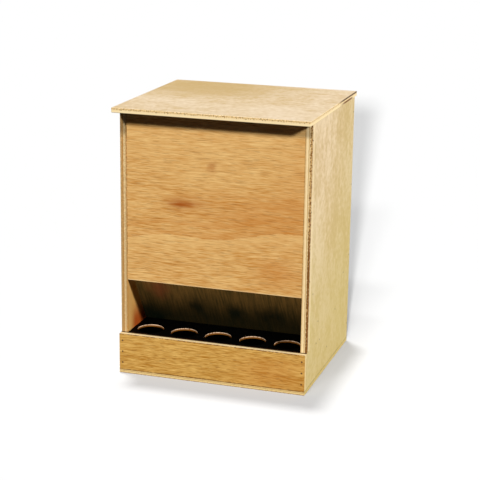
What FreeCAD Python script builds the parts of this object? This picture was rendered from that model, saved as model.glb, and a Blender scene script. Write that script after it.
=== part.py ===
"""Hopper bird feeder: a nailed plywood grain box with a hinged lid, and a row of feeding holes along its front.

The origin is the middle of the underside of the bottom panel. +X is the feeder's right, +Y its back and +Z up.
Lengths are in millimetres and angles in degrees.
"""
import FreeCAD, Part
import math
import os
import re
import Sketcher

# Driving sizes
SIZES = {
    # Carcass
    "body_width": 350,            # over the outside of both side panels
    "body_depth": 300,            # of a side panel, front edge to back edge
    "side_height": 477,           # of a side panel, standing on the bottom panel
    "side_thickness": 12,
    "bottom_thickness": 7,
    "back_thickness": 9,
    "rail_height": 68,
    "rail_thickness": 12,
    "front_thickness": 9,
    "front_recess": 0.5,          # from the side panels' front edges back to the front panel's face
    "mouth_height": 100,          # open height between the rail and the front panel
    # Lid
    "lid_thickness": 9,
    "lid_front_overhang": 30,     # past the side panels' front edges
    "lid_side_overhang": 4,
    "lid_edge_radius": 1.2,
    # Feeding board, baffle and hopper floor
    "board_thickness": 4,
    "hole_count": 5,
    "hole_diameter": 48,
    "hole_setback": 31,           # from the rail's inner face back to the holes' centres
    "baffle_thickness": 6,
    "baffle_slope": 33,           # from plumb
    "baffle_reach": 82,           # from the front panel's back to the baffle's foot
    "floor_thickness": 6,
    "floor_slope": 45,            # from level
    "feed_gap": 70,               # level gap for the grain, behind the feeding board's lower back edge
    # Nails
    "nail_length": 25,
    "nail_diameter": 1.6,
    "nail_point": 3,
    "nail_head_diameter": 3.2,
    "nail_head_thickness": 0.8,
    "nail_inset": 30,             # from the end of a panel to the first nail of its row
    "rail_nail_inset": 13,        # from the rail's upper and lower edges
    "board_nail_inset": 7,        # from the feeding board's holes and its back edge
    "bottom_nail_inset": 90,      # from the sides' outer faces to the nails into the rail and the back panel
    # Hinges
    "hinge_length": 38,
    "hinge_inset": 65,            # from a side's outer face to the middle of its hinge
    "leaf_thickness": 1.2,
    "leaf_margin": 0.5,           # of lid edge left above the leaf
    "knuckle_radius": 2.4,
    "knuckle_gap": 0.3,
    "pin_diameter": 2.5,
    "pin_clearance": 0.05,        # all round the pin, inside the knuckles
    "pin_head_radius": 2,
    "pin_head_thickness": 0.8,
    "pin_head_gap": 0.1,
    "screw_spacing": 26,
    "screw_diameter": 2.2,
    "screw_point": 2,
    "screw_head_diameter": 4.2,
    "screw_head_depth": 1,
    "screw_slot_width": 0.6,
    "screw_slot_depth": 0.5,
    "screw_margin": 2,            # of back panel left ahead of a screw's point
}

# Places and lengths worked out from the sizes
PLACES = {
    "half_width": "body_width / 2",
    "inner_width": "body_width - 2 * side_thickness",
    "side_middle": "half_width - side_thickness / 2",
    "base_depth": "rail_thickness + body_depth",
    "rail_front": "-base_depth / 2",
    "side_front": "rail_front + rail_thickness",
    "back_face": "side_front + body_depth",
    "back_inner": "back_face - back_thickness",
    "back_middle": "back_face - back_thickness / 2",
    "side_top": "bottom_thickness + side_height",
    "rail_top": "bottom_thickness + rail_height",
    "mouth_top": "rail_top + mouth_height",
    "front_face": "side_front + front_recess",
    "front_middle": "front_face + front_thickness / 2",
    "front_inner": "front_face + front_thickness",
    "lid_front": "side_front - lid_front_overhang",
    "lid_width": "body_width + 2 * lid_side_overhang",
    "hole_pitch": "inner_width / hole_count",
    "board_bottom": "rail_top - board_thickness",
    "baffle_drop": "baffle_reach / tan(baffle_slope)",
    "baffle_head": "rail_top + baffle_drop",
    "baffle_foot": "front_inner + baffle_reach",
    "board_back": "baffle_foot + baffle_thickness / cos(baffle_slope)",
    "floor_foot": "board_back + feed_gap - (board_bottom - bottom_thickness) / tan(floor_slope)",
    "floor_run": "back_inner - floor_foot",
    "floor_rise": "floor_run * tan(floor_slope)",
    "bottom_nail_middle": "half_width - bottom_nail_inset",
    "hinge_middle": "half_width - hinge_inset",
    "knuckle_reach": "knuckle_radius + knuckle_gap",
    "knuckle_length": "(hinge_length - 2 * knuckle_gap) / 3",
    "leaf_width": "lid_thickness - leaf_margin",
    "pin_back": "back_face + knuckle_reach",
    "screw_height": "(knuckle_reach + leaf_width) / 2",
    "screw_length": "leaf_thickness + back_thickness - screw_margin",
}

# Rows of nails: how many in each, and how far along a sloping board
RAIL_NAILS = 3
FRONT_PANEL_NAILS = 3
BACK_PANEL_NAILS = 4
BOTTOM_NAILS = 3
BAFFLE_NAIL_SHARES = (0.25, 0.75)
FLOOR_NAIL_SHARES = (0.2, 0.5, 0.8)

LEFT = -1
RIGHT = 1
SIDES = {"left": LEFT, "right": RIGHT}

ALONG_X = FreeCAD.Vector(1, 0, 0)
ALONG_Y = FreeCAD.Vector(0, 1, 0)
ALONG_Z = FreeCAD.Vector(0, 0, 1)
HOLE_VOLUME_TOLERANCE = 0.001

doc = FreeCAD.newDocument("HopperBirdFeeder")
sheet = doc.addObject("Spreadsheet::Sheet", "Sizes")
for row, (alias, value) in enumerate(SIZES.items(), start=1):
    sheet.set(f"A{row}", alias.replace("_", " "))
    sheet.set(f"B{row}", str(value))
    sheet.setAlias(f"B{row}", alias)
doc.recompute()


def formula(text):
    """Spells a formula of plain names as an expression that reads the sheet."""
    def spell(match):
        name = match.group()
        if name in PLACES:
            return f"({formula(PLACES[name])})"
        if name in SIZES:
            return f"Sizes.{name}"
        return name
    return re.sub(r"[a-z_]+", spell, text)


def bind(item, formulas):
    """Ties an object's properties to the sheet."""
    for name, text in formulas.items():
        item.setExpression(name, formula(text))


def place(item, x, y, z, heading=ALONG_Z):
    """Turns an object's own +Z to a heading and ties its place to the sheet."""
    item.Placement = FreeCAD.Placement(FreeCAD.Vector(), FreeCAD.Rotation(ALONG_Z, heading))
    bind(item, {"Placement.Base.x": x, "Placement.Base.y": y, "Placement.Base.z": z})


def box(label, corner, length, depth, height):
    """A block from its lowest corner."""
    block = doc.addObject("Part::Box", label)
    bind(block, {"Length": length, "Width": depth, "Height": height})
    place(block, *corner)
    return block


def rod(label, start, heading, radius, length):
    """A round bar from the middle of one end."""
    bar = doc.addObject("Part::Cylinder", label)
    bind(bar, {"Radius": radius, "Height": length})
    place(bar, *start, heading)
    return bar


def taper(label, height, first_radius, last_radius, length):
    """A cone that stands on +Z at a height."""
    cone = doc.addObject("Part::Cone", label)
    bind(cone, {"Radius1": first_radius, "Radius2": last_radius, "Height": length})
    place(cone, "0", "0", height)
    return cone


def fused(label, shapes):
    """One solid from several that overlap or meet."""
    whole = doc.addObject("Part::MultiFuse", label)
    whole.Shapes = shapes
    return whole


def gathered(label, shapes):
    """A group of separate solids."""
    group = doc.addObject("Part::Compound", label)
    group.Links = shapes
    return group


def cut(label, base, tool):
    """What is left of a base once a tool's shape is taken out of it."""
    rest = doc.addObject("Part::Cut", label)
    rest.Base = base
    rest.Tool = tool
    return rest


def copy_of(original, label, x, y, z, heading):
    """A linked copy of a fastener, its head's face at a point and its shank along a heading."""
    link = doc.addObject("App::Link", label)
    link.setLink(original)
    place(link, x, y, z, heading)
    return link


def spread(first, last, count):
    """Formulas for evenly spaced places from a first to a last."""
    return [f"{first} + ({last} - ({first})) * {step} / {count - 1}" for step in range(count)]


def sketch_on(body, label, role):
    """An empty sketch on one of a body's own origin planes."""
    sketch = body.newObject("Sketcher::SketchObject", label)
    plane = next(item for item in body.Origin.OriginFeatures if item.Role == role)
    sketch.AttachmentSupport = (plane, [""])
    sketch.MapMode = "FlatFace"
    return sketch


def outline(sketch, corners):
    """Draws a closed outline of straight lines whose corners are tied to the sheet."""
    count = len(corners)
    ring = [FreeCAD.Vector(math.cos(math.tau * step / count), math.sin(math.tau * step / count), 0)
            for step in range(count)]
    for step in range(count):
        sketch.addGeometry(Part.LineSegment(ring[step], ring[(step + 1) % count]), False)
    for step in range(count):
        sketch.addConstraint(Sketcher.Constraint("Coincident", step, 2, (step + 1) % count, 1))
    for step, (across, up) in enumerate(corners):
        for kind, start, text in (("DistanceX", ring[step].x, across), ("DistanceY", ring[step].y, up)):
            index = sketch.addConstraint(Sketcher.Constraint(kind, -1, 1, step, 1, start))
            sketch.setExpression(f"Constraints[{index}]", formula(text))


def padded(body, sketch, length, side_type="One side"):
    """Pads a sketch into its body."""
    pad = body.newObject("PartDesign::Pad", f"{body.Name}_pad")
    pad.Profile = sketch
    pad.SideType = side_type
    bind(pad, {"Length": length})
    return pad


def sloping_board(label, corners):
    """A board across the inside of the feeder, with this outline when seen from the side."""
    body = doc.addObject("PartDesign::Body", label)
    sketch = sketch_on(body, f"{label}_outline", "YZ_Plane")
    outline(sketch, corners)
    padded(body, sketch, "inner_width", "Symmetric")
    return body


def flat_sheet(label, corners, thickness, height):
    """A level sheet with this outline when seen from above, lying at a height."""
    body = doc.addObject("PartDesign::Body", label)
    sketch = sketch_on(body, f"{label}_outline", "XY_Plane")
    outline(sketch, corners)
    pad = padded(body, sketch, thickness)
    bind(body, {"Placement.Base.z": height})
    return body, pad


# Fasteners: one pattern of each, then linked copies
def nail_pattern():
    """A round nail that stands on +Z, the face of its head at the origin."""
    shank_length = "nail_length - nail_point"
    head = rod("nail_head", ("0", "0", "0"), ALONG_Z, "nail_head_diameter / 2", "nail_head_thickness")
    shank = rod("nail_shank", ("0", "0", "0"), ALONG_Z, "nail_diameter / 2", shank_length)
    point = taper("nail_tip", shank_length, "nail_diameter / 2", "0", "nail_point")
    return fused("nail_pattern", [head, shank, point])


def screw_pattern():
    """A slotted countersunk screw that stands on +Z, the face of its head at the origin."""
    shank_length = "screw_length - screw_point"
    head = taper("screw_head", "0", "screw_head_diameter / 2", "screw_diameter / 2", "screw_head_depth")
    shank = rod("screw_shank", ("0", "0", "0"), ALONG_Z, "screw_diameter / 2", shank_length)
    point = taper("screw_tip", shank_length, "screw_diameter / 2", "0", "screw_point")
    slot = box("screw_slot", ("-screw_head_diameter / 2", "-screw_slot_width / 2", "0"),
               "screw_head_diameter", "screw_slot_width", "screw_slot_depth")
    blank = fused("screw_blank", [head, shank, point])
    return blank, cut("screw_pattern", blank, slot)


nail = nail_pattern()
screw_blank, screw = screw_pattern()


def side_nails(label, places):
    """Nails through both side panels at these places, each given as (y, z)."""
    nails = []
    for side, way in SIDES.items():
        for number, (y, z) in enumerate(places, start=1):
            name = f"{label}_{side}_{number}"
            nails.append(copy_of(nail, name, f"{way} * half_width", y, z, -way * ALONG_X))
    return gathered(label, nails)


def rail_nails(label):
    """Nails through the rail's ends into the side panels' front edges."""
    heights = spread("bottom_thickness + rail_nail_inset", "rail_top - rail_nail_inset", RAIL_NAILS)
    nails = []
    for side, way in SIDES.items():
        for number, z in enumerate(heights, start=1):
            name = f"{label}_{side}_{number}"
            nails.append(copy_of(nail, name, f"{way} * side_middle", "rail_front", z, ALONG_Y))
    return gathered(label, nails)


def bottom_nails(label):
    """Nails up through the bottom panel into the side panels, the rail and the back panel."""
    nails = []
    rows = spread("side_front + nail_inset", "back_face - nail_inset", BOTTOM_NAILS)
    for side, way in SIDES.items():
        spots = [(f"{way} * side_middle", y) for y in rows]
        spots.append((f"{way} * bottom_nail_middle", "rail_front + rail_thickness / 2"))
        spots.append((f"{way} * bottom_nail_middle", "back_middle"))
        for number, (x, y) in enumerate(spots, start=1):
            nails.append(copy_of(nail, f"{label}_{side}_{number}", x, y, "0", ALONG_Z))
    return gathered(label, nails)


def hinge_screws(label, pattern, height):
    """The screws of both hinges' leaves at one height."""
    screws = []
    for side, way in SIDES.items():
        for number, step in enumerate((LEFT, RIGHT), start=1):
            x = f"{way} * hinge_middle + {step} * screw_spacing / 2"
            name = f"{label}_{side}_{number}"
            screws.append(copy_of(pattern, name, x, "back_face + leaf_thickness", height, -ALONG_Y))
    return gathered(label, screws)


BAFFLE_NAILS = [(f"front_inner + {share} * baffle_reach",
                 f"baffle_head - {share} * baffle_drop + baffle_thickness / 2 / sin(baffle_slope)")
                for share in BAFFLE_NAIL_SHARES]
FLOOR_NAILS = [(f"back_inner - {share} * floor_run",
                f"bottom_thickness + (1 - {share}) * floor_rise - floor_thickness / 2 / cos(floor_slope)")
               for share in FLOOR_NAIL_SHARES]
BOARD_NAILS = [("side_front + hole_setback + hole_diameter / 2 + board_nail_inset",
                "rail_top - board_thickness / 2"),
               ("board_back - 2 * board_nail_inset", "rail_top - board_thickness / 2")]
FRONT_NAILS = [("front_middle", z)
               for z in spread("mouth_top + nail_inset", "side_top - nail_inset", FRONT_PANEL_NAILS)]
BACK_NAILS = [("back_middle", z)
              for z in spread("bottom_thickness + nail_inset", "side_top - nail_inset", BACK_PANEL_NAILS)]

nail_groups = [
    rail_nails("rail_nails"),
    bottom_nails("bottom_nails"),
    side_nails("front_panel_nails", FRONT_NAILS),
    side_nails("back_panel_nails", BACK_NAILS),
    side_nails("feeding_board_nails", BOARD_NAILS),
    side_nails("baffle_nails", BAFFLE_NAILS),
    side_nails("hopper_floor_nails", FLOOR_NAILS),
]
BODY_SCREW_HEIGHT = "side_top - screw_height"
LID_SCREW_HEIGHT = "side_top + screw_height"
screw_groups = [
    hinge_screws("hinge_body_screws", screw, BODY_SCREW_HEIGHT),
    hinge_screws("hinge_lid_screws", screw, LID_SCREW_HEIGHT),
]
screw_holes = gathered("screw_holes", [
    hinge_screws("body_screw_holes", screw_blank, BODY_SCREW_HEIGHT),
    hinge_screws("lid_screw_holes", screw_blank, LID_SCREW_HEIGHT),
])
fastener_holes = gathered("fastener_holes", nail_groups + [screw_holes])


# Wooden pieces: each is a blank with its fasteners' holes taken out
def wooden(label, blank):
    """A finished wooden piece."""
    return cut(label, blank, fastener_holes)


def side_panel(label, left_edge):
    """A plain side, from the bottom panel up to the lid."""
    blank = box(f"{label}_blank", (left_edge, "side_front", "bottom_thickness"),
                "side_thickness", "body_depth", "side_height")
    return wooden(label, blank)


def feeding_board(label):
    """The level board between the sides, with a row of feeding holes."""
    corners = [("-inner_width / 2", "side_front"), ("inner_width / 2", "side_front"),
               ("inner_width / 2", "board_back"), ("-inner_width / 2", "board_back")]
    body, pad = flat_sheet(f"{label}_blank", corners, "board_thickness", "board_bottom")
    sketch = sketch_on(body, f"{label}_hole", "XY_Plane")
    sketch.addGeometry(Part.Circle(FreeCAD.Vector(), ALONG_Z, SIZES["hole_diameter"] / 2), False)
    constraints = (
        (Sketcher.Constraint("DistanceX", -1, 1, 0, 3, 0), "-(hole_count - 1) / 2 * hole_pitch"),
        (Sketcher.Constraint("DistanceY", -1, 1, 0, 3, 0), "side_front + hole_setback"),
        (Sketcher.Constraint("Diameter", 0, SIZES["hole_diameter"]), "hole_diameter"),
    )
    for constraint, text in constraints:
        index = sketch.addConstraint(constraint)
        sketch.setExpression(f"Constraints[{index}]", formula(text))
    hole = body.newObject("PartDesign::Pocket", f"{label}_pocket")
    hole.Profile = sketch
    hole.Type = "ThroughAll"
    hole.SideType = "Symmetric"
    row = body.newObject("PartDesign::LinearPattern", f"{label}_row")
    row.Originals = [hole]
    row.Direction = (sketch, ["H_Axis"])
    bind(row, {"Length": "(hole_count - 1) * hole_pitch", "Occurrences": "hole_count"})
    body.Tip = row
    return wooden(label, body), pad, body


def lid_panel(label):
    """The flat lid, with all its edges eased."""
    corners = [("-lid_width / 2", "lid_front"), ("lid_width / 2", "lid_front"),
               ("lid_width / 2", "back_face"), ("-lid_width / 2", "back_face")]
    body, pad = flat_sheet(f"{label}_blank", corners, "lid_thickness", "side_top")
    doc.recompute()
    fillet = body.newObject("PartDesign::Fillet", f"{label}_eased")
    fillet.Base = (pad, [""])
    fillet.UseAllEdges = True
    bind(fillet, {"Radius": "lid_edge_radius"})
    return wooden(label, body)


left_side = side_panel("left_side_panel", "-half_width")
right_side = side_panel("right_side_panel", "half_width - side_thickness")
bottom = wooden("bottom_panel", box(
    "bottom_blank", ("-half_width", "rail_front", "0"), "body_width", "base_depth", "bottom_thickness"))
rail = wooden("front_rail", box(
    "rail_blank", ("-half_width", "rail_front", "bottom_thickness"),
    "body_width", "rail_thickness", "rail_height"))
front = wooden("front_panel", box(
    "front_blank", ("-inner_width / 2", "front_face", "mouth_top"),
    "inner_width", "front_thickness", "side_top - mouth_top"))
back = wooden("back_panel", box(
    "back_blank", ("-inner_width / 2", "back_inner", "bottom_thickness"),
    "inner_width", "back_thickness", "side_height"))
board, board_pad, board_body = feeding_board("feeding_board")
baffle = wooden("baffle_board", sloping_board("baffle_blank", [
    ("front_inner", "baffle_head"),
    ("baffle_foot", "rail_top"),
    ("board_back", "rail_top"),
    ("front_inner", "baffle_head + baffle_thickness / sin(baffle_slope)"),
]))
hopper_floor = wooden("hopper_floor", sloping_board("floor_blank", [
    ("floor_foot", "bottom_thickness"),
    ("floor_foot + floor_thickness / sin(floor_slope)", "bottom_thickness"),
    ("back_inner", "bottom_thickness + floor_rise - floor_thickness / cos(floor_slope)"),
    ("back_inner", "bottom_thickness + floor_rise"),
]))
lid = lid_panel("lid")


# Hinges: flat on the back, the pin level with the lid's underside
def hinge_leaf(label, middle, plate_foot, web_foot, knuckle_starts):
    """A plate with webs that rise into its rolled knuckles, bored for the pin and for its screws."""
    pieces = [box(f"{label}_plate", (f"{middle} - hinge_length / 2", "back_face", plate_foot),
                  "hinge_length", "leaf_thickness", "leaf_width - knuckle_reach")]
    for number, start in enumerate(knuckle_starts, start=1):
        pieces.append(box(f"{label}_web_{number}", (start, "back_face", web_foot),
                          "knuckle_length", "leaf_thickness", "knuckle_reach"))
        pieces.append(rod(f"{label}_knuckle_{number}", (start, "pin_back", "side_top"),
                          ALONG_X, "knuckle_radius", "knuckle_length"))
    bore = rod(f"{label}_bore", (f"{middle} - hinge_length / 2", "pin_back", "side_top"),
               ALONG_X, "pin_diameter / 2 + pin_clearance", "hinge_length")
    holes = gathered(f"{label}_holes", [bore, screw_holes])
    return cut(label, fused(f"{label}_blank", pieces), holes)


def hinge_pin(label, middle):
    """A pin with a flat head at each end of the knuckles."""
    head_reach = "(hinge_length / 2 + pin_head_gap)"
    head_starts = {"left": f"{middle} - {head_reach} - pin_head_thickness", "right": f"{middle} + {head_reach}"}
    shank = rod(f"{label}_shank", (head_starts["left"], "pin_back", "side_top"), ALONG_X, "pin_diameter / 2",
                "hinge_length + 2 * (pin_head_gap + pin_head_thickness)")
    heads = [rod(f"{label}_{end}_head", (start, "pin_back", "side_top"), ALONG_X,
                 "pin_head_radius", "pin_head_thickness")
             for end, start in head_starts.items()]
    return fused(label, [shank] + heads)


hinge_pieces = []
for side, way in SIDES.items():
    middle = f"{way} * hinge_middle"
    outer_knuckles = (f"{middle} - hinge_length / 2", f"{middle} + hinge_length / 2 - knuckle_length")
    inner_knuckle = (f"{middle} - knuckle_length / 2",)
    hinge_pieces.append(hinge_leaf(f"{side}_hinge_body_leaf", middle, "side_top - leaf_width",
                                   "side_top - knuckle_reach", outer_knuckles))
    hinge_pieces.append(hinge_leaf(f"{side}_hinge_lid_leaf", middle, "side_top + knuckle_reach",
                                   "side_top", inner_knuckle))
    hinge_pieces.append(hinge_pin(f"{side}_hinge_pin", middle))

doc.recompute()

# Every object must have built, and every piece must be whole, before anything is written
pieces = [left_side, right_side, bottom, rail, front, back, board, baffle, hopper_floor, lid]
pieces += hinge_pieces + nail_groups + screw_groups

for item in doc.Objects:
    if "Invalid" in item.State or "Error" in item.State:
        raise RuntimeError(f"{item.Label} did not build: {item.State}")
for piece in pieces:
    if piece.Shape.isNull() or not piece.Shape.isValid():
        raise RuntimeError(f"{piece.Label} has no valid shape")

holes_volume = board_pad.Shape.Volume - board_body.Shape.Volume
one_hole = math.pi * sheet.hole_diameter ** 2 / 4 * sheet.board_thickness
if abs(holes_volume / (sheet.hole_count * one_hole) - 1) > HOLE_VOLUME_TOLERANCE:
    raise RuntimeError("the feeding holes are not all cut through")

os.makedirs("parts", exist_ok=True)
for piece in pieces:
    piece.Shape.exportStep(f"parts/{piece.Label}.step")
    print(piece.Label, len(piece.Shape.Solids), round(piece.Shape.Volume, 1))
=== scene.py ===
import math
from typing import NamedTuple

import bmesh
import bpy
from mathutils import Matrix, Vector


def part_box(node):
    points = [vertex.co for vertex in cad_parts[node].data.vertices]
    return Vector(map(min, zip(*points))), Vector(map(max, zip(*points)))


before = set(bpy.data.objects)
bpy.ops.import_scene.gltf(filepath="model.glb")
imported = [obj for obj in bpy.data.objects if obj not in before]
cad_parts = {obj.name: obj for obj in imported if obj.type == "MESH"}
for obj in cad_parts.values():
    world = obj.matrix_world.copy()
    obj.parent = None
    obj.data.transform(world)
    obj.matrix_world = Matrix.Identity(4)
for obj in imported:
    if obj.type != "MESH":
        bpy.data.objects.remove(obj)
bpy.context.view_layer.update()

bl_info = {
    "name": "Hopper Bird Feeder",
    "version": (1, 0, 0),
    "blender": (4, 5, 0),
    "location": "3D View > Sidebar > Feeder",
    "description": "Finishes a nailed plywood hopper feeder and stands it in a plain studio",
    "category": "Object",
}

X, Y, Z = range(3)
# Which way a surface faces: along an axis, either way, or against it
ALONG, EITHER, AGAINST = 1, 0, -1
BLACK = (0.0, 0.0, 0.0)
# Edges that turn by less than this are left as they are
SHARP_TURN = math.radians(50)
NAIL_NODES = tuple(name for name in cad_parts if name.endswith("_nails"))
HINGE_NODES = tuple(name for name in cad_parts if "hinge" in name)


def shade(red, green, blue):
    """A linear colour from the everyday 0 to 255 scale."""
    def linear(level):
        level /= 255
        return level / 12.92 if level <= 0.04045 else ((level + 0.055) / 1.055) ** 2.4
    return linear(red), linear(green), linear(blue)


def colour(name, description, *levels):
    """A colour that a user can change."""
    return bpy.props.FloatVectorProperty(
        name=name, description=description, subtype="COLOR", size=3, min=0, max=1, default=shade(*levels))


def length(name, description, metres):
    """A length that a user can change."""
    return bpy.props.FloatProperty(
        name=name, description=description, subtype="DISTANCE", unit="LENGTH", min=0, default=metres)


def angle(name, description, degrees):
    """An angle that a user can change."""
    return bpy.props.FloatProperty(
        name=name, description=description, subtype="ANGLE", unit="ROTATION", default=math.radians(degrees))


def level(name, description, value):
    """A plain number that a user can change."""
    return bpy.props.FloatProperty(name=name, description=description, min=0, default=value)


class FeederColours(bpy.types.PropertyGroup):
    """Colours of the feeder's woods, paint and metal"""
    front_pale: colour("Front Pale", "Straw streaks of the front veneer", 237, 195, 127)
    front_deep: colour("Front Deep", "Brown streaks of the front veneer", 192, 128, 53)
    front_orange: colour("Front Orange", "Orange clouds on the front veneer", 196, 124, 52)
    rail_pale: colour("Rail Pale", "Straw streaks of the rail", 229, 184, 102)
    rail_deep: colour("Rail Deep", "Brown streaks of the rail", 172, 113, 32)
    side_pale: colour("Side Pale", "Cream streaks of the side veneer", 235, 210, 170)
    side_deep: colour("Side Deep", "Tan streaks of the side veneer", 208, 179, 131)
    # side_olive is the sides' olive tone, and is also painted in as shade towards their foot and back
    side_olive: colour("Side Olive", "Olive cast of the sides towards the foot and the back", 194, 172, 97)
    inside: colour("Inside", "Side veneer in the mouth", 231, 172, 91)
    # Painted reddish reflected light, low on the sides' inner faces in the mouth
    reddish_reflection: colour("Rust", "Reddish stain low in the mouth", 180, 78, 22)
    # lid_pale is also painted in as light, making the lid paler towards its front right
    lid_pale: colour("Lid Pale", "Cream flecks of the lid veneer", 238, 217, 187)
    lid_deep: colour("Lid Deep", "Straw flecks of the lid veneer", 209, 179, 129)
    # The underside's two tones are darker than the lid's top: painted shade under the lid
    under_pale: colour("Under Pale", "Paler streaks of the lid's dull underside", 168, 137, 96)
    under_deep: colour("Under Deep", "Darker streaks of the lid's dull underside", 132, 103, 66)
    # Painted shade: the lid darker and tanner towards its back left
    lid_back_shade: colour("Lid Tan", "Tan cast of the lid towards the back", 199, 168, 112)
    knot: colour("Knot", "Heart of a knot in the front veneer", 160, 82, 26)
    pore: colour("Pore", "Short open pores in a veneer", 112, 66, 28)
    # arris is also painted in as a highlight: beside the sides' front arrises and on the front of the rail's
    # top
    arris: colour("Arris", "Eased arrises, where the veneer is worn pale", 250, 226, 176)
    ply: colour("Ply", "Pale plies on a sawn edge", 240, 208, 152)
    tan: colour("Tan", "Tan plies on a sawn edge", 206, 166, 106)
    # core is also painted in as the shadow of the gap under the lid's right end
    core: colour("Core", "Dark torn plies on a sawn edge", 118, 72, 22)
    straw: colour("Straw", "Yellow ply on the bottom panel's edge", 242, 210, 142)
    joint: colour("Joint", "Dirt in the joints between boards", 70, 44, 18)
    # Black coat of the feeding board, and also black painted shade in the dark trough below it
    paint: colour("Paint", "Black paint on the feeding board and in the trough", 2, 2, 2)
    bare: colour("Bare", "Bare wood in the feeding holes", 244, 208, 172)
    baffle_pale: colour("Baffle Pale", "Lighter streaks of the dark baffle", 122, 88, 42)
    baffle_deep: colour("Baffle Deep", "Darker streaks of the dark baffle", 48, 41, 17)
    baffle_red: colour("Baffle Red", "Reddish cloud on the dark baffle", 124, 66, 36)
    # Painted shade on the baffle: darker towards its foot, a painted shadow at its lower left, and dark
    # patches above the holes
    baffle_shade_and_patches: colour("Damp", "Damp patches on the dark baffle", 7, 12, 6)
    zinc: colour("Zinc", "Plated steel of the hinges", 186, 184, 178)
    nail: colour("Nail", "Dull steel of the nails", 84, 70, 58)


class FeederSizes(bpy.types.PropertyGroup):
    """Sizes of the feeder's finish"""
    easing: length("Easing", "Width of the eased arrises", 0.0006)
    wear: length("Wear", "Width of the pale worn band along an arris", 0.0016)
    joint: length("Joint", "Width of the dirty joints between boards", 0.0008)


class FeederStage(bpy.types.PropertyGroup):
    """Camera and light of the studio"""
    eye: bpy.props.FloatVectorProperty(
        name="Eye", description="Where the camera stands", subtype="TRANSLATION", unit="LENGTH", size=3,
        default=(0.7779, -2.4399, 0.9367))
    yaw: angle("Yaw", "Turn of the camera to the left of straight ahead", 17.617)
    pitch: angle("Pitch", "Tilt of the camera upwards", -15.484)
    roll: angle("Roll", "Roll of the camera", 0.755)
    lens: level("Lens", "Focal length in millimetres on a 36 mm frame", 107.48)
    right: level("Right Lamp", "Strength of the lamp at the front right", 3.0)
    left: level("Left Lamp", "Strength of the lamp at the front left", 2.0)
    mouth: level("Mouth Lamp", "Strength of the lamp on the left side's inner face", 3.0)
    baffle: level("Baffle Lamp", "Strength of the low lamp on the baffle", 2.3)
    back: level("Back Lamps", "Strength of the low lamps behind the feeder", 1.6)
    fill: level("Fill", "Strength of the even light all round", 0.004)
    floor: level("Floor", "Brightness of the floor out of the feeder's shadow", 1.0)


class Finish:
    """A material mixed from nodes. Its coordinates are the feeder's own, in metres."""
    # Places of the colour sockets among those of a mix node
    FIRST_COLOUR, SECOND_COLOUR, MIXED_COLOUR = 6, 7, 2

    def __init__(self, name):
        self.material = bpy.data.materials.new(name)
        self.material.use_nodes = True
        self.tree = self.material.node_tree
        self.shader = self.tree.nodes["Principled BSDF"]
        coordinates = self.node("ShaderNodeTexCoord")
        self.place = coordinates.outputs["Object"]
        self.at = self.split(self.place)
        self.turn = self.split(coordinates.outputs["Normal"])

    def node(self, kind, **settings):
        """A new node with these settings."""
        made = self.tree.nodes.new(kind)
        for name, value in settings.items():
            setattr(made, name, value)
        return made

    def feed(self, socket, value):
        """Links an output to a socket, or sets the socket to a plain value."""
        if isinstance(value, bpy.types.NodeSocket):
            self.tree.links.new(value, socket)
        else:
            socket.default_value = value

    def split(self, vector):
        """The three parts of a vector."""
        made = self.node("ShaderNodeSeparateXYZ")
        self.feed(made.inputs[0], vector)
        return made.outputs[:]

    def calc(self, operation, *values):
        """A sum of numbers."""
        made = self.node("ShaderNodeMath", operation=operation)
        for socket, value in zip(made.inputs, values):
            self.feed(socket, value)
        return made.outputs[0]

    def ease(self, value, start, end, low=0.0, high=1.0):
        """Eases from low, where the value is start, to high, where it is end."""
        made = self.node("ShaderNodeMapRange", interpolation_type="SMOOTHSTEP")
        for socket, part in zip(made.inputs, (value, start, end, low, high)):
            self.feed(socket, part)
        return made.outputs[0]

    def stretched(self, scale, shift):
        """The feeder's coordinates, scaled along each axis and shifted."""
        made = self.node("ShaderNodeMapping")
        self.feed(made.inputs["Vector"], self.place)
        self.feed(made.inputs["Scale"], scale)
        self.feed(made.inputs["Location"], shift)
        return made.outputs[0]

    def noise(self, vector, scale, detail=2.0):
        """Cloudy noise from 0 to 1."""
        made = self.node("ShaderNodeTexNoise")
        self.feed(made.inputs["Vector"], vector)
        self.feed(made.inputs["Scale"], scale)
        self.feed(made.inputs["Detail"], detail)
        return made.outputs["Fac"]

    def mix(self, factor, first, second):
        """A blend of two colours."""
        made = self.node("ShaderNodeMix", data_type="RGBA")
        self.feed(made.inputs[0], factor)
        self.feed(made.inputs[self.FIRST_COLOUR], self.opaque(first))
        self.feed(made.inputs[self.SECOND_COLOUR], self.opaque(second))
        return made.outputs[self.MIXED_COLOUR]

    @staticmethod
    def opaque(tint):
        """A colour with its alpha, or a socket as it is."""
        if isinstance(tint, bpy.types.NodeSocket):
            return tint
        return (*tint, 1.0)

    def both(self, *masks):
        """Where all the masks hold."""
        total = masks[0]
        for mask in masks[1:]:
            total = self.calc("MULTIPLY", total, mask)
        return total

    def colour(self, tint):
        """Sets the surface's colour."""
        self.feed(self.shader.inputs["Base Color"], self.opaque(tint))

    def bump(self, height, strength, distance):
        """Tilts the shading by a height."""
        made = self.node("ShaderNodeBump")
        self.feed(made.inputs["Height"], height)
        self.feed(made.inputs["Strength"], strength)
        self.feed(made.inputs["Distance"], distance)
        self.feed(self.shader.inputs["Normal"], made.outputs[0])

    def gloss(self, roughness, specular, metallic=0.0):
        """Sets how the surface shines."""
        self.feed(self.shader.inputs["Roughness"], roughness)
        self.feed(self.shader.inputs["Specular IOR Level"], specular)
        self.feed(self.shader.inputs["Metallic"], metallic)


class Marks(NamedTuple):
    """One layer of a veneer's figure: the size of its marks in metres, and their strength."""
    width: float
    length: float
    weight: float
    ragged: float = 2.0


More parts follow.
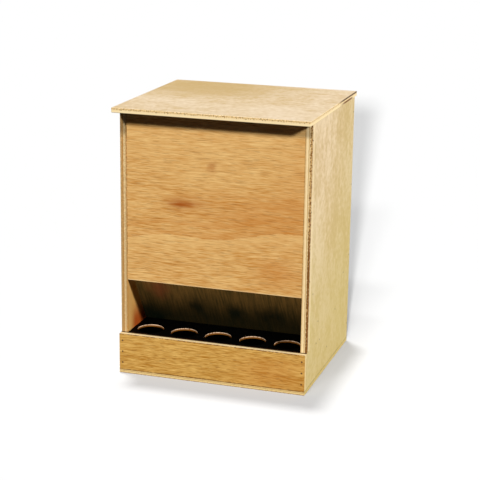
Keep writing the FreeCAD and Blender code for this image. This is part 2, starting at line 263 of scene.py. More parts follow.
class Stain(NamedTuple):
    """A soft oval cloud: its middle and its reach along the grain and across it, in metres."""
    along: float
    across: float
    reach: float
    spread: float
    amount: float


class Fade(NamedTuple):
    """A soft change along an axis: nothing at its start and the full amount at its end, in metres."""
    axis: int
    start: float
    end: float
    amount: float = 1.0


class Rings(NamedTuple):
    """Growth rings cut lengthways: their places across the grain, their slope and their waves, in metres."""
    first: float
    spacing: float
    count: int
    tilt: float
    sway: float
    crest: float
    radian: float


class Strip(NamedTuple):
    """A ragged strip beside an edge: its start and end from there, and how far it wanders, in metres."""
    start: float
    end: float
    wander: float


class Plywood(Finish):
    """A sheet of plywood: veneer faces with grain along one axis, and plies on its sawn edges."""
    # How far one step of the seed moves the noise along each axis
    SEED_STEP = (1.37, 0.71, 2.13)
    # Blotches to the metre in the noise that breaks up each kind of mark
    WEAR_BLOTCHES = 160.0
    PLY_BLOTCHES = 180.0
    STRIP_BLOTCHES = 240.0
    JOINT_BLOTCHES = 260.0
    PIT_BLOTCHES = 420.0
    # The share of its normal along an axis at which a surface begins to face that way, and fully does
    ASIDE, SQUARE_ON = 0.5, 0.8
    FACE_ASIDE, FACE_SQUARE_ON = 0.6, 0.85
    # Where a stain's rim and its heart lie, as shares of its reach with the noise added
    STAIN_RIM, STAIN_HEART = 1.6, 0.5
    # Shares of the space between growth rings: how far they wander, a ring's width, and the pale stretch
    RING_WANDER = 0.3
    RING_WIDTH = 0.9
    PALE_FROM, PALE_TO = -1.5, -0.2
    # How strongly the pale stretch and the rings show
    PALE_AMOUNT, RING_AMOUNT = 0.4, 0.32
    # Levels of noise between which a pore, a dot of dirt or a pit takes shape
    PORE_RIM = 0.1
    DOT_FROM, DOT_TO = 0.36, 0.56
    PIT_RIM = 0.12
    # Shares of a strip's width, of a joint's width, and of a sheet's thickness
    STRIP_RIM = 0.2
    JOINT_HEART, JOINT_RIM = 0.5, 1.5
    PLY_WANDER = 0.16
    PIT_FADE = 0.1
    # Levels of the relief between which the shine changes, and by how much
    SMOOTH, COARSE = 0.2, 0.8
    SHINE_CHANGE = 0.08
    # Strength of the relief, and its depth in metres
    BUMP_STRENGTH = 0.5
    BUMP_DEPTH = 0.00015

    def __init__(self, name, node, face, grain, seed):
        super().__init__(name)
        self.low, self.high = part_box(node)
        self.face = face
        self.grain = grain
        self.across = X + Y + Z - face - grain
        self.shift = tuple(seed * step for step in self.SEED_STEP)
        turn = self.calc("ABSOLUTE", self.turn[face])
        self.on_face = self.ease(turn, self.FACE_ASIDE, self.FACE_SQUARE_ON)
        self.tint = None
        self.relief = None

    def drawn_out(self, width, along, detail=2.0):
        """Noise whose blotches have this width across the grain, and this length along it."""
        scale = [1 / along] * 3
        scale[self.across] = 1 / width
        return self.noise(self.stretched(scale, self.shift), 1.0, detail)

    def about_zero(self, noise):
        """Noise that lies about 0."""
        return self.calc("SUBTRACT", noise, 0.5)

    def facing(self, axis, way, low=0.0, high=1.0):
        """Eases from low to high as the surface turns to face along an axis, against it or either way."""
        turn = self.turn[axis]
        if way == EITHER:
            way = ALONG
            turn = self.calc("ABSOLUTE", turn)
        return self.ease(turn, way * self.ASIDE, way * self.SQUARE_ON, low, high)

    def within(self, *fades):
        """Where all the fades have come, each up to its amount."""
        return self.both(*(
            self.ease(self.at[fade.axis], fade.start, fade.end, 0.0, fade.amount) for fade in fades))

    def bend(self, reach):
        """Bends the grain by a slow drift across it."""
        drift = self.about_zero(self.drawn_out(width=0.06, along=0.12, detail=1.0))
        move = [0.0] * 3
        move[self.across] = reach
        made = self.node("ShaderNodeVectorMath", operation="MULTIPLY_ADD")
        for socket, value in zip(made.inputs, (drift, move, self.place)):
            self.feed(socket, value)
        self.place = made.outputs[0]

    def figure(self, pale, deep, *layers):
        """Streaks of two tones, from several layers of marks."""
        total = 0.5
        for layer in layers:
            mark = self.about_zero(self.drawn_out(layer.width, layer.length, layer.ragged))
            total = self.calc("MULTIPLY_ADD", mark, layer.weight, total)
        self.relief = total
        self.tint = self.mix(total, pale, deep)

    def draw(self, amount, tint):
        """Draws the tone towards a tint."""
        self.tint = self.mix(amount, self.tint, tint)

    def stain(self, tint, *stains):
        """Soft clouds of another tone."""
        for stain in stains:
            squares = []
            for axis, middle, reach in ((self.grain, stain.along, stain.reach),
                                        (self.across, stain.across, stain.spread)):
                offset = self.calc("DIVIDE", self.calc("SUBTRACT", self.at[axis], middle), reach)
                squares.append(self.calc("MULTIPLY", offset, offset))
            distance = self.calc("SQRT", self.calc("ADD", *squares))
            ragged = self.calc("ADD", self.drawn_out(stain.spread / 2, stain.reach), distance)
            self.draw(self.ease(ragged, self.STAIN_RIM, self.STAIN_HEART, 0.0, stain.amount), tint)

    def rings(self, rings, pale, deep):
        """Wavy tilted bands with one sharp edge, fainter one by one, and a pale stretch before the first."""
        along = self.at[self.grain]
        turn = self.calc("DIVIDE", self.calc("SUBTRACT", along, rings.crest), rings.radian)
        across = self.calc("MULTIPLY_ADD", self.calc("COSINE", turn), rings.sway, self.at[self.across])
        across = self.calc("MULTIPLY_ADD", along, -rings.tilt, across)
        ragged = self.about_zero(self.drawn_out(width=0.003, along=0.02))
        across = self.calc("MULTIPLY_ADD", ragged, self.RING_WANDER * rings.spacing, across)
        ring = self.calc("DIVIDE", self.calc("SUBTRACT", across, rings.first), rings.spacing)
        before = self.both(self.ease(ring, self.PALE_FROM, self.PALE_TO), self.calc("LESS_THAN", ring, 0.0))
        self.draw(self.both(before, self.PALE_AMOUNT), pale)
        after = self.both(self.ease(ring, rings.count, 1.0), self.calc("GREATER_THAN", ring, 0.0))
        band = self.ease(self.calc("FRACT", ring), self.RING_WIDTH, 0.0)
        self.draw(self.both(band, after, self.RING_AMOUNT), deep)

    def pores(self, tint, amount, width, along, sparse=0.66):
        """Short open pores."""
        pore = self.ease(self.drawn_out(width, along, 1.0), sparse, sparse + self.PORE_RIM)
        self.relief = self.calc("SUBTRACT", self.relief, pore)
        self.draw(self.calc("MULTIPLY", pore, amount), tint)

    def worn(self, axes, width, tint, amount):
        """Arrises at the two ends of each of the axes, rubbed pale."""
        nearest = 1.0
        for axis in axes:
            middle = (self.low[axis] + self.high[axis]) / 2
            half = (self.high[axis] - self.low[axis]) / 2
            reach = self.calc("ABSOLUTE", self.calc("SUBTRACT", self.at[axis], middle))
            nearest = self.calc("MINIMUM", nearest, self.calc("SUBTRACT", half, reach))
        ragged = self.calc("MULTIPLY", self.noise(self.place, self.WEAR_BLOTCHES), 2 * width)
        self.draw(self.both(self.ease(nearest, ragged, 0.0), amount), tint)

    def strip(self, axis, edge, strip, tint, amount):
        """A ragged strip beside an edge at a place along an axis."""
        wander = self.about_zero(self.noise(self.place, self.STRIP_BLOTCHES))
        place = self.calc("MULTIPLY_ADD", wander, strip.wander, self.at[axis])
        start = edge + strip.start
        end = edge + strip.end
        soft = self.STRIP_RIM * (end - start)
        begun = self.ease(place, start - soft, start + soft)
        going = self.ease(place, end + soft, end - soft)
        self.draw(self.both(begun, going, amount), tint)

    def joint(self, axis, place, width, tint, amount=0.8):
        """A dirty broken line at a place along an axis."""
        gap = self.calc("ABSOLUTE", self.calc("SUBTRACT", self.at[axis], place))
        line = self.ease(gap, self.JOINT_RIM * width, self.JOINT_HEART * width)
        dotted = self.ease(self.noise(self.place, self.JOINT_BLOTCHES), self.DOT_FROM, self.DOT_TO)
        beside = self.facing(axis, EITHER, low=1.0, high=0.0)
        self.draw(self.both(line, dotted, beside, amount), tint)

    def pits(self, sparse):
        """Small torn pits."""
        return self.ease(
            self.noise(self.place, self.PIT_BLOTCHES), sparse, self.calc("ADD", sparse, self.PIT_RIM))

    def plies(self, stops, pit, pitting, pit_start=0.0, sparse=0.54):
        """Sawn edges: plies as (share of the thickness, colour), with torn pits from a share on."""
        foot = self.low[self.face]
        thickness = self.high[self.face] - foot
        depth = self.calc("DIVIDE", self.calc("SUBTRACT", self.at[self.face], foot), thickness)
        wander = self.about_zero(self.noise(self.place, self.PLY_BLOTCHES))
        depth = self.calc("MULTIPLY_ADD", wander, self.PLY_WANDER, depth)
        made = self.node("ShaderNodeValToRGB")
        self.feed(made.inputs[0], depth)
        elements = made.color_ramp.elements
        while len(elements) < len(stops):
            elements.new(1.0)
        for element, (share, tint) in zip(elements, stops):
            element.position = share
            element.color = self.opaque(tint)
        torn = self.both(self.pits(sparse), self.ease(depth, pit_start - self.PIT_FADE, pit_start),
                         self.ease(depth, 1.0 + self.PIT_FADE, 1.0), pitting)
        self.tint = self.mix(self.on_face, self.mix(torn, made.outputs["Color"], pit), self.tint)

    def done(self, roughness=0.55, specular=0.12):
        """Joins the tone, the shine and the relief to the shader."""
        self.colour(self.tint)
        low = roughness - self.SHINE_CHANGE
        high = roughness + self.SHINE_CHANGE
        self.gloss(self.ease(self.relief, self.SMOOTH, self.COARSE, low, high), specular)
        self.bump(self.relief, self.BUMP_STRENGTH, self.BUMP_DEPTH)
        return self.material


def dress(node, material, easing=0.0):
    """Gives a node its material, and eases its arrises."""
    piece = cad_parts[node]
    piece.data.materials.clear()
    piece.data.materials.append(material)
    if easing:
        bevel = piece.modifiers.new("eased_arrises", "BEVEL")
        bevel.width = easing
        bevel.segments = 2
        bevel.limit_method = "ANGLE"
        bevel.angle_limit = SHARP_TURN


def even_plies(colours, layers=3, line=0.05):
    """Colour stops for a sawn edge: pale plies with a thin tan line between each two."""
    stops = []
    for layer in range(layers):
        stops.append((layer / layers + line, colours.ply))
        stops.append(((layer + 1) / layers - line, colours.ply))
        if layer + 1 < layers:
            stops.append(((layer + 1) / layers, colours.tan))
    return stops


def mouth_top():
    """Height of the front panel's lower arris, which is the top of the mouth."""
    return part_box("front_panel")[0].z


class FEEDER_OT_front_panel(bpy.types.Operator):
    """Finishes the front panel: a warm veneer with lying grain and a knot"""
    bl_idname = "feeder.front_panel"
    bl_label = "Front Panel"
    growth = Rings(first=0.27, spacing=0.02, count=3, tilt=0.09, sway=0.0055, crest=0.012, radian=0.035)

    def execute(self, context):
        colours = context.scene.feeder_colours
        sizes = context.scene.feeder_sizes
        wood = Plywood("front_veneer", "front_panel", face=Y, grain=X, seed=1.0)
        wood.bend(reach=0.01)
        wood.figure(colours.front_pale, colours.front_deep,
                    Marks(width=0.018, length=0.06, weight=0.5),
                    Marks(width=0.0034, length=0.08, weight=0.75, ragged=1.0),
                    Marks(width=0.0012, length=0.022, weight=2.1))
        wood.draw(wood.within(Fade(axis=Z, start=0.33, end=0.42, amount=0.25)), colours.front_pale)
        wood.stain(colours.front_orange,
                   Stain(along=0.06, across=0.31, reach=0.17, spread=0.06, amount=0.5),
                   Stain(along=0.12, across=0.215, reach=0.07, spread=0.04, amount=0.5),
                   Stain(along=0.15, across=0.36, reach=0.06, spread=0.12, amount=0.3))
        wood.rings(self.growth, colours.front_pale, colours.front_orange)
        wood.pores(colours.pore, amount=0.24, width=0.0016, along=0.02, sparse=0.58)
        wood.pores(colours.pore, amount=0.3, width=0.0012, along=0.09)
        wood.stain(colours.knot,
                   Stain(along=-0.052, across=0.325, reach=0.06, spread=0.018, amount=0.45),
                   Stain(along=-0.004, across=0.394, reach=0.012, spread=0.016, amount=0.4),
                   Stain(along=-0.063, across=0.324, reach=0.028, spread=0.0095, amount=0.95))
        wear = Strip(start=0.0, end=sizes.wear, wander=sizes.wear)
        wood.strip(Z, mouth_top(), wear, colours.arris, amount=0.35)
        wood.plies(even_plies(colours), colours.core, pitting=0.3)
        for side in (wood.low.x, wood.high.x):
            wood.joint(X, side, sizes.joint, colours.joint, amount=0.5)
        dress("front_panel", wood.done(), sizes.easing)
        return {"FINISHED"}


class FEEDER_OT_front_rail(bpy.types.Operator):
    """Finishes the rail along the foot of the front, with a painted highlight on the front of its top, black
    lapping over the back of its top, and black painted shade on its back face in the trough
    """
    bl_idname = "feeder.front_rail"
    bl_label = "Front Rail"
    # How far the paint laps over the top from behind, and the width of its soft rim
    paint_lap = 0.005
    paint_and_shade_rim = 0.002

    def execute(self, context):
        colours = context.scene.feeder_colours
        sizes = context.scene.feeder_sizes
        wood = Plywood("rail_veneer", "front_rail", face=Y, grain=X, seed=2.0)
        wood.bend(reach=0.01)
        wood.figure(colours.rail_pale, colours.rail_deep,
                    Marks(width=0.018, length=0.08, weight=0.6),
                    Marks(width=0.0034, length=0.05, weight=0.75, ragged=1.0),
                    Marks(width=0.0012, length=0.016, weight=2.1))
        wood.stain(colours.front_orange, Stain(along=0.12, across=0.03, reach=0.12, spread=0.05, amount=0.4))
        wood.pores(colours.pore, amount=0.32, width=0.0016, along=0.012, sparse=0.6)
        wood.joint(Z, wood.high.z - sizes.wear / 2, sizes.joint, colours.pore, amount=0.9)
        # The rail's top: pale at the front arris, where it is worn and also brightened as a painted
        # highlight
        wood.plies(((0.0, colours.arris), (1.0, colours.ply)), colours.core, pitting=0.3)
        back = wood.high.y
        lap = back - self.paint_lap
        lapped = wood.within(Fade(axis=Y, start=lap, end=lap + self.paint_and_shade_rim))
        wood.draw(wood.both(wood.facing(Z, ALONG), lapped), colours.paint)
        wood.draw(wood.facing(X, EITHER, high=0.45), colours.side_olive)
        wood.joint(Y, back, 2 * sizes.joint, colours.pore, amount=0.6)
        # Black painted shade on the rail's back face, in the dark trough
        wood.draw(wood.facing(Y, ALONG), colours.paint)
        wood.joint(Z, wood.low.z, sizes.joint, colours.joint)
        dress("front_rail", wood.done(), sizes.easing)
        return {"FINISHED"}


class FEEDER_OT_side_panels(bpy.types.Operator):
    """Finishes the two sides: pale veneer with upright grain and painted olive shade towards the foot and
    back, torn at the front with a painted highlight beside it, painted reddish light in the mouth, and black
    painted shade below the feeding board
    """
    bl_idname = "feeder.side_panels"
    bl_label = "Side Panels"
    # Strips on the faces, behind the front edge: a painted highlight along the arris, and torn wood
    highlight_strip = Strip(start=0.004, end=0.016, wander=0.006)
    torn_strip = Strip(start=-0.002, end=0.004, wander=0.004)
    highlight_amount = 0.5
    # Painted shade with an olive tone: the sides darken towards the foot and towards the back, standing in
    # for light that falls off there
    olive_and_shade_casts = (
        Fade(axis=Z, start=0.46, end=0.06, amount=0.68),
        Fade(axis=Y, start=-0.06, end=0.15, amount=0.38),
    )
    # Widths of the soft rims of the tints in the mouth, among them the painted reddish reflected light, and
    # of the black painted shade below them
    mouth_tint_rim = 0.01
    paint_and_shade_rim = 0.001

    def execute(self, context):
        colours = context.scene.feeder_colours
        ply, tan, arris, orange = colours.ply, colours.tan, colours.arris, colours.front_orange
        left = ((0.0, tan), (0.28, tan), (0.37, orange), (0.45, tan), (0.54, ply), (0.66, ply), (0.9, tan),
                (1.0, orange))
        right = ((0.0, tan), (0.15, ply), (0.37, arris), (0.5, tan), (0.56, tan), (0.64, arris), (0.74, tan),
                 (1.0, tan))
        self.side(context, "left_side_panel", left, seed=3.0, inward=ALONG, tear=0.25, tear_start=0.0)
        self.side(context, "right_side_panel", right, seed=4.0, inward=AGAINST, tear=0.95, tear_start=0.72)
        return {"FINISHED"}

    def side(self, context, node, stops, seed, inward, tear, tear_start):
        """One side, whose inner face looks along x or against it."""
        colours = context.scene.feeder_colours
        sizes = context.scene.feeder_sizes
        wood = Plywood(f"{node}_veneer", node, face=X, grain=Z, seed=seed)
        wood.figure(colours.side_pale, colours.side_deep,
                    Marks(width=0.07, length=0.09, weight=1.4),
                    Marks(width=0.02, length=0.04, weight=1.0),
                    Marks(width=0.011, length=0.009, weight=1.6),
                    Marks(width=0.0024, length=0.05, weight=0.9))
        # Painted shade: an olive darkening towards the foot and the back
        for cast in self.olive_and_shade_casts:
            wood.draw(wood.within(cast), colours.side_olive)
        wood.pores(colours.pore, amount=0.3, width=0.005, along=0.004, sparse=0.7)
        self.front_edge(wood, colours, sizes, stops, tear, tear_start)
        self.inner_face(wood, colours, inward)
        for end in (wood.low.z, wood.high.z):
            wood.joint(Z, end, sizes.joint, colours.joint)
        dress(node, wood.done(), sizes.easing)

    def front_edge(self, wood, colours, sizes, stops, tear, tear_start):
        """The sawn edges, torn at the front from a share of the thickness on, and the faces beside them,
        with a painted highlight along the front arris.
        """
        rail_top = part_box("front_rail")[1].z
        free = wood.within(Fade(axis=Z, start=rail_top, end=rail_top + sizes.wear))
        sparse = wood.ease(wood.at[Z], start=0.38, end=0.2, low=0.46, high=0.32)
        # A painted highlight on the face just behind the front arris
        wood.strip(Y, wood.low.y, self.highlight_strip, colours.arris, wood.both(free, self.highlight_amount))
        wood.strip(Y, wood.low.y, self.torn_strip, colours.core, wood.both(wood.pits(sparse), free, tear))
        pitting = wood.both(wood.facing(Y, AGAINST, low=0.3), tear)
        wood.plies(stops, colours.core, pitting, pit_start=tear_start, sparse=sparse)

    def inner_face(self, wood, colours, inward):
        """The face in the mouth, with painted reddish reflected light above the feeding board, and black
        painted shade below the board.
        """
        inner = wood.facing(X, inward)
        board_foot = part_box("feeding_board")[0].z
        board_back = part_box("feeding_board")[1].y
        top = mouth_top()
        mouth = wood.within(Fade(axis=Z, start=top + self.mouth_tint_rim, end=top, amount=0.85))
        wood.draw(wood.both(inner, mouth), colours.inside)
        # Painted reddish reflected light, low in the mouth in front of the feeding board's back edge
        reddish_reflection = wood.within(Fade(axis=Y, start=-0.135, end=-0.105),
                           Fade(axis=Z, start=0.13, end=0.085),
                           Fade(axis=Y, start=board_back + self.mouth_tint_rim, end=board_back, amount=0.95))
        wood.draw(wood.both(inner, reddish_reflection), colours.reddish_reflection)
        # Black painted shade below the feeding board, in the dark trough
        trough = wood.within(Fade(axis=Z, start=board_foot + self.paint_and_shade_rim, end=board_foot))
        wood.draw(wood.both(inner, trough), colours.paint)


class FEEDER_OT_lid(bpy.types.Operator):
    """Finishes the lid: flecked cream veneer with pitted edges, painted light towards the front right,
    painted shade towards the back left and on the underside, and a painted gap shadow under the right end
    """
    bl_idname = "feeder.lid"
    bl_label = "Lid"

    def execute(self, context):
        colours = context.scene.feeder_colours
        wear = context.scene.feeder_sizes.wear
        ply, tan, arris = colours.ply, colours.tan, colours.arris
        stops = ((0.0, arris), (0.4, arris), (0.7, ply), (0.85, tan), (0.95, arris), (1.0, arris))
        wood = Plywood("lid_veneer", "lid", face=Z, grain=X, seed=5.0)
        wood.figure(colours.lid_pale, colours.lid_deep,
                    Marks(width=0.06, length=0.12, weight=0.9),
                    Marks(width=0.025, length=0.03, weight=0.8),
                    Marks(width=0.009, length=0.008, weight=1.2),
                    Marks(width=0.0024, length=0.05, weight=0.8))
        # Painted shade, darker towards the back left, and painted light, paler towards the front right
        wood.stain(colours.lid_back_shade, Stain(along=-0.12, across=0.1, reach=0.25, spread=0.18, amount=1.0))
        wood.stain(colours.lid_pale, Stain(along=0.1, across=-0.12, reach=0.14, spread=0.08, amount=0.5))
        wood.pores(colours.pore, amount=0.25, width=0.006, along=0.003, sparse=0.7)
        wood.worn(axes=(Y,), width=wear, tint=arris, amount=0.5)
        wood.plies(stops, colours.core, pitting=0.75, pit_start=0.6, sparse=0.5)
        wood.draw(wood.facing(X, ALONG, high=0.3), arris)
        foot, top, right = wood.low.z, wood.high.z, wood.high.x
        rubbed = wood.within(Fade(axis=X, start=right - wear, end=right),
                             Fade(axis=Y, start=0.0, end=0.06),
                             Fade(axis=Z, start=top - 2 * wear, end=top - wear))
        wood.draw(rubbed, colours.joint)
        # Painted shadow of the gap under the lid's right end, low on that end towards the back
        painted_gap_shadow = wood.within(Fade(axis=Z, start=foot, end=foot + wear / 2),
                           Fade(axis=Z, start=foot + 3 * wear, end=foot + 2 * wear),
                           Fade(axis=Y, start=0.02, end=0.07),
                           Fade(axis=Y, start=0.13, end=0.11))
        wood.draw(wood.both(wood.facing(X, ALONG), painted_gap_shadow), colours.core)
        # Painted shade: the underside in darker tones
        shaded = wood.mix(wood.relief, colours.under_pale, colours.under_deep)
        wood.draw(wood.facing(Z, AGAINST), shaded)
        dress("lid", wood.done(roughness=0.6))
        return {"FINISHED"}


class FEEDER_OT_plain_panels(bpy.types.Operator):
    """Finishes the back, the bottom and the hopper floor, with black painted shade where they line the dark
    trough
    """
    bl_idname = "feeder.plain_panels"
    bl_label = "Back, Bottom and Hopper Floor"
    # Width of the soft rim of the black painted shade on the hopper floor, below the feeding board
    paint_and_shade_rim = 0.01

    def execute(self, context):
        colours = context.scene.feeder_colours
        sizes = context.scene.feeder_sizes
        back = self.veneer(colours, "back_panel", face=Y, grain=Z, seed=6.0)
        back.worn(axes=(X, Z), width=sizes.wear, tint=colours.arris, amount=0.5)
        back.plies(even_plies(colours), colours.core, pitting=0.3)
        dress("back_panel", back.done(), sizes.easing)
        bottom = self.veneer(colours, "bottom_panel", face=Z, grain=X, seed=7.0)
        core, straw, tan = colours.core, colours.straw, colours.tan
        stops = ((0.0, core), (0.16, tan), (0.24, straw), (0.48, straw), (0.56, core), (0.64, straw),
                 (0.85, tan), (0.95, core))
        bottom.plies(stops, core, pitting=0.2)
        bottom.draw(bottom.facing(X, EITHER, high=0.7), colours.side_olive)
        # Black painted shade on the bottom's upper face, in the dark trough
        bottom.draw(bottom.facing(Z, ALONG), colours.paint)
        dress("bottom_panel", bottom.done(), sizes.easing)
        floor = self.veneer(colours, "hopper_floor", face=Z, grain=X, seed=8.0)
        board_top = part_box("feeding_board")[1].z
        # Black painted shade on the hopper floor below the feeding board's top, in the dark trough
        painted = floor.within(Fade(axis=Z, start=board_top + self.paint_and_shade_rim, end=board_top))
        floor.draw(painted, colours.paint)
        dress("hopper_floor", floor.done(), sizes.easing)
        return {"FINISHED"}

    @staticmethod
    def veneer(colours, node, face, grain, seed):
        """Plain veneer like that of the sides."""
        wood = Plywood(f"{node}_veneer", node, face, grain, seed)
        wood.figure(colours.side_pale, colours.side_deep,
                    Marks(width=0.03, length=0.16, weight=0.9),
                    Marks(width=0.006, length=0.04, weight=1.0),
                    Marks(width=0.003, length=0.012, weight=1.2))
        wood.pores(colours.pore, amount=0.3, width=0.002, along=0.006)
        return wood


class FEEDER_OT_baffle_board(bpy.types.Operator):
    """Finishes the dark baffle, with painted shade towards its foot, a painted shadow at its lower left, and
    dark patches above the holes
    """
    bl_idname = "feeder.baffle_board"
    bl_label = "Baffle Board"

    def execute(self, context):
        colours = context.scene.feeder_colours
        wood = Plywood("baffle_veneer", "baffle_board", face=Y, grain=Z, seed=9.0)
        wood.figure(colours.baffle_pale, colours.baffle_deep,
                    Marks(width=0.03, length=0.05, weight=0.8),
                    Marks(width=0.008, length=0.1, weight=0.7),
                    Marks(width=0.003, length=0.04, weight=1.3))
        wood.stain(colours.baffle_red, Stain(along=0.15, across=-0.12, reach=0.03, spread=0.03, amount=0.7))
        # Painted shade: darker towards the foot
        wood.draw(wood.within(Fade(axis=Z, start=0.178, end=0.088, amount=0.9)), colours.baffle_shade_and_patches)
        # A painted shadow of the left side at the lower left, and dark patches above the holes
        wood.stain(colours.baffle_shade_and_patches,
                   Stain(along=0.082, across=-0.145, reach=0.034, spread=0.05, amount=1.0),
                   Stain(along=0.115, across=-0.052, reach=0.026, spread=0.028, amount=0.85),
                   Stain(along=0.11, across=0.023, reach=0.028, spread=0.028, amount=0.9),
                   Stain(along=0.112, across=0.088, reach=0.03, spread=0.04, amount=0.9))
        wood.pores(colours.baffle_deep, amount=0.4, width=0.002, along=0.03)
        dress("baffle_board", wood.done(roughness=0.6, specular=0.1))
        return {"FINISHED"}


class FEEDER_OT_feeding_board(bpy.types.Operator):
    """Finishes the black feeding board, bare inside its holes"""
    bl_idname = "feeder.feeding_board"
    bl_label = "Feeding Board"

    def execute(self, context):
        colours = context.scene.feeder_colours
        bare, core = colours.bare, colours.core
        wood = Plywood("feeding_board_paint", "feeding_board", face=Z, grain=X, seed=10.0)
        wood.figure(colours.paint, BLACK,
                    Marks(width=0.02, length=0.05, weight=0.8),
                    Marks(width=0.002, length=0.004, weight=0.6))
        wood.pores(bare, amount=0.02, width=0.0016, along=0.004)
        wood.plies(((0.0, core), (0.6, core), (0.74, bare), (1.0, bare)), core, pitting=0.85, sparse=0.5)
        dress("feeding_board", wood.done(roughness=0.7, specular=0.04))
        return {"FINISHED"}


class FEEDER_OT_hinges(bpy.types.Operator):
    """Finishes the hinges, their pins and their screws"""
    bl_idname = "feeder.hinges"
    bl_label = "Hinges"

    def execute(self, context):
        colours = context.scene.feeder_colours
        plate = Finish("zinc_plate")
        cloud = plate.noise(plate.place, scale=240.0, detail=4.0)
        dulled = plate.ease(cloud, start=0.4, end=0.8, low=0.0, high=0.4)
        plate.colour(plate.mix(dulled, colours.zinc, colours.nail))
        roughness = plate.ease(cloud, start=0.3, end=0.7, low=0.28, high=0.45)
        plate.gloss(roughness, specular=0.5, metallic=1.0)
        plate.bump(cloud, strength=0.2, distance=0.0001)
        for node in HINGE_NODES:
            dress(node, plate.material)
        return {"FINISHED"}


class FEEDER_OT_nails(bpy.types.Operator):
    """Finishes the nails"""
    bl_idname = "feeder.nails"
    bl_label = "Nails"

    def execute(self, context):
        colours = context.scene.feeder_colours
        steel = Finish("dull_steel")
        cloud = steel.noise(steel.place, scale=900.0, detail=3.0)
        steel.colour(steel.mix(cloud, colours.nail, colours.core))
        steel.gloss(roughness=0.6, specular=0.3, metallic=0.6)
        steel.bump(cloud, strength=0.3, distance=0.0001)
        for node in NAIL_NODES:
            dress(node, steel.material)
        return {"FINISHED"}


class Lamp(NamedTuple):
    """A distant lamp: its bearing to the right of the front, its height and its spread, in degrees."""
    name: str
    bearing: float
    height: float
    spread: float


def seen_itself(tree):
    """A socket that is 1 for a ray from the camera, also by way of a mirror or glass, and 0 for the rest."""
    path = tree.nodes.new("ShaderNodeLightPath").outputs
    seen = path["Is Camera Ray"]
    for name in ("Is Glossy Ray", "Is Transmission Ray"):
        larger = tree.nodes.new("ShaderNodeMath")
        larger.operation = "MAXIMUM"
        tree.links.new(seen, larger.inputs[0])
        tree.links.new(path[name], larger.inputs[1])
        seen = larger.outputs[0]
    return seen


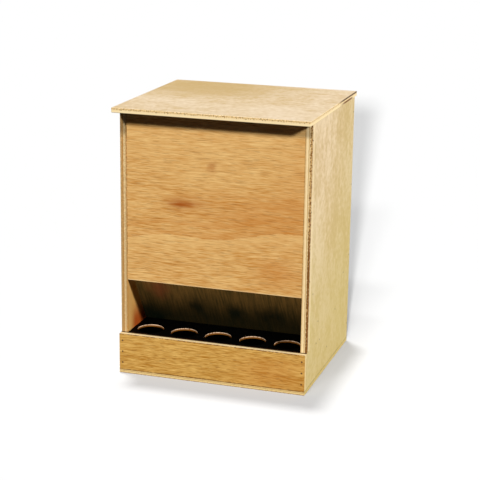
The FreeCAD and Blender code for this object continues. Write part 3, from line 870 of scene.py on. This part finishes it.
class FEEDER_OT_stage(bpy.types.Operator):
    """Sets out the pale floor, the lamps, the even light and the camera"""
    bl_idname = "feeder.stage"
    bl_label = "Studio"
    right_lamp = Lamp("right_lamp", bearing=54, height=27, spread=9)
    left_lamp = Lamp("left_lamp", bearing=-20, height=39, spread=9)
    mouth_lamp = Lamp("mouth_lamp", bearing=54, height=41, spread=6)
    baffle_lamp = Lamp("baffle_lamp", bearing=10, height=3, spread=9)
    back_lamps = (
        Lamp("back_right_lamp", bearing=137, height=15, spread=12),
        Lamp("back_left_lamp", bearing=-110, height=12, spread=12),
    )
    # Each floor lamp with its share of the floor's brightness
    floor_lamps = (
        (0.39, Lamp("near_shadow_lamp", bearing=-139, height=83, spread=5)),
        (0.08, Lamp("high_shadow_lamp", bearing=-12, height=72, spread=5)),
        (0.12, Lamp("middle_shadow_lamp", bearing=1, height=52, spread=7)),
        (0.09, Lamp("low_shadow_lamp", bearing=8, height=24.5, spread=4)),
        (0.32, Lamp("far_shadow_lamp", bearing=11.3, height=10.6, spread=2)),
    )
    floor_reach = 20.0
    floor_shade = shade(149, 149, 149)
    floor_bounce = shade(14, 14, 14)
    frame_width = 36.0

    def execute(self, context):
        scene = context.scene
        stage = scene.feeder_stage
        scene.view_settings.view_transform = "Standard"
        floor = self.floor(scene)
        self.sky(scene, stage)
        left_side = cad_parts["left_side_panel"]
        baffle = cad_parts["baffle_board"]
        self.lamp(scene, self.right_lamp, stage.right, "EXCLUDE", floor, left_side, baffle)
        self.lamp(scene, self.left_lamp, stage.left, "EXCLUDE", floor, baffle)
        self.lamp(scene, self.mouth_lamp, stage.mouth, "INCLUDE", left_side)
        self.lamp(scene, self.baffle_lamp, stage.baffle, "INCLUDE", baffle)
        for lamp in self.back_lamps:
            self.lamp(scene, lamp, stage.back, "EXCLUDE", floor)
        for share, lamp in self.floor_lamps:
            slant = math.sin(math.radians(lamp.height))
            strength = math.pi * share * stage.floor / self.floor_shade[0] / slant
            self.lamp(scene, lamp, strength, "INCLUDE", floor)
        self.camera(scene, stage)
        return {"FINISHED"}

    @staticmethod
    def lamp(scene, lamp, strength, state, *receivers):
        """Hangs a lamp that leaves no shine, and lights only these receivers, or all but them."""
        data = bpy.data.lights.new(lamp.name, "SUN")
        data.energy = strength
        data.angle = math.radians(lamp.spread)
        made = bpy.data.objects.new(lamp.name, data)
        made.rotation_euler = (math.radians(90 - lamp.height), 0.0, math.radians(lamp.bearing))
        made.visible_glossy = False
        scene.collection.objects.link(made)
        linked = bpy.data.collections.new(f"{lamp.name}_receivers")
        for receiver in receivers:
            linked.objects.link(receiver)
        for entry in linked.collection_objects:
            entry.light_linking.link_state = state
        made.light_linking.receiver_collection = linked

    def floor(self, scene):
        """A wide pale floor that keeps the feeder's shadow, and casts little light back."""
        mesh = bpy.data.meshes.new("floor")
        shape = bmesh.new()
        bmesh.ops.create_grid(shape, x_segments=1, y_segments=1, size=self.floor_reach)
        shape.to_mesh(mesh)
        shape.free()
        made = bpy.data.objects.new("floor", mesh)
        scene.collection.objects.link(made)
        paper = Finish("pale_floor")
        paper.colour(paper.mix(seen_itself(paper.tree), self.floor_bounce, self.floor_shade))
        paper.gloss(roughness=0.9, specular=0.0)
        mesh.materials.append(paper.material)
        return made

    @staticmethod
    def sky(scene, stage):
        """Even light that the camera sees as white."""
        world = bpy.data.worlds.new("even_light")
        world.use_nodes = True
        scene.world = world
        tree = world.node_tree
        strength = tree.nodes.new("ShaderNodeMapRange")
        tree.links.new(seen_itself(tree), strength.inputs["Value"])
        strength.inputs["To Min"].default_value = stage.fill
        strength.inputs["To Max"].default_value = 1.0
        background = tree.nodes["Background"]
        background.inputs["Color"].default_value = (1.0, 1.0, 1.0, 1.0)
        tree.links.new(strength.outputs[0], background.inputs["Strength"])

    def camera(self, scene, stage):
        """A long lens at the front right, a little above the lid."""
        data = bpy.data.cameras.new("camera")
        data.sensor_fit = "HORIZONTAL"
        data.sensor_width = self.frame_width
        data.lens = stage.lens
        made = bpy.data.objects.new("camera", data)
        scene.collection.objects.link(made)
        made.matrix_world = (
            Matrix.Translation(stage.eye)
            @ Matrix.Rotation(stage.yaw, 4, "Z")
            @ Matrix.Rotation(math.pi / 2 + stage.pitch, 4, "X")
            @ Matrix.Rotation(stage.roll, 4, "Z"))
        scene.camera = made


class FEEDER_PT_sidebar(bpy.types.Panel):
    """Lists the feeder's pieces, colours and studio"""
    bl_idname = "FEEDER_PT_sidebar"
    bl_label = "Hopper Bird Feeder"
    bl_space_type = "VIEW_3D"
    bl_region_type = "UI"
    bl_category = "Feeder"

    def draw(self, context):
        for operator in OPERATORS:
            self.layout.operator(operator.bl_idname)
        for group in (context.scene.feeder_colours, context.scene.feeder_sizes, context.scene.feeder_stage):
            column = self.layout.column()
            for name in group.__annotations__:
                column.prop(group, name)


OPERATORS = (
    FEEDER_OT_front_panel, FEEDER_OT_front_rail, FEEDER_OT_side_panels, FEEDER_OT_lid,
    FEEDER_OT_plain_panels, FEEDER_OT_baffle_board, FEEDER_OT_feeding_board, FEEDER_OT_hinges,
    FEEDER_OT_nails, FEEDER_OT_stage,
)
GROUPS = {"feeder_colours": FeederColours, "feeder_sizes": FeederSizes, "feeder_stage": FeederStage}


def register():
    """Adds the add-on's classes and settings."""
    for item in (*GROUPS.values(), *OPERATORS, FEEDER_PT_sidebar):
        bpy.utils.register_class(item)
    for name, group in GROUPS.items():
        setattr(bpy.types.Scene, name, bpy.props.PointerProperty(type=group))


def unregister():
    """Takes the add-on's classes and settings away."""
    for name in GROUPS:
        delattr(bpy.types.Scene, name)
    for item in reversed((*GROUPS.values(), *OPERATORS, FEEDER_PT_sidebar)):
        bpy.utils.unregister_class(item)


def main():
    """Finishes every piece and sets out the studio."""
    register()
    for operator in OPERATORS:
        family, name = operator.bl_idname.split(".")
        getattr(getattr(bpy.ops, family), name)()


if __name__ == "__main__":
    main()
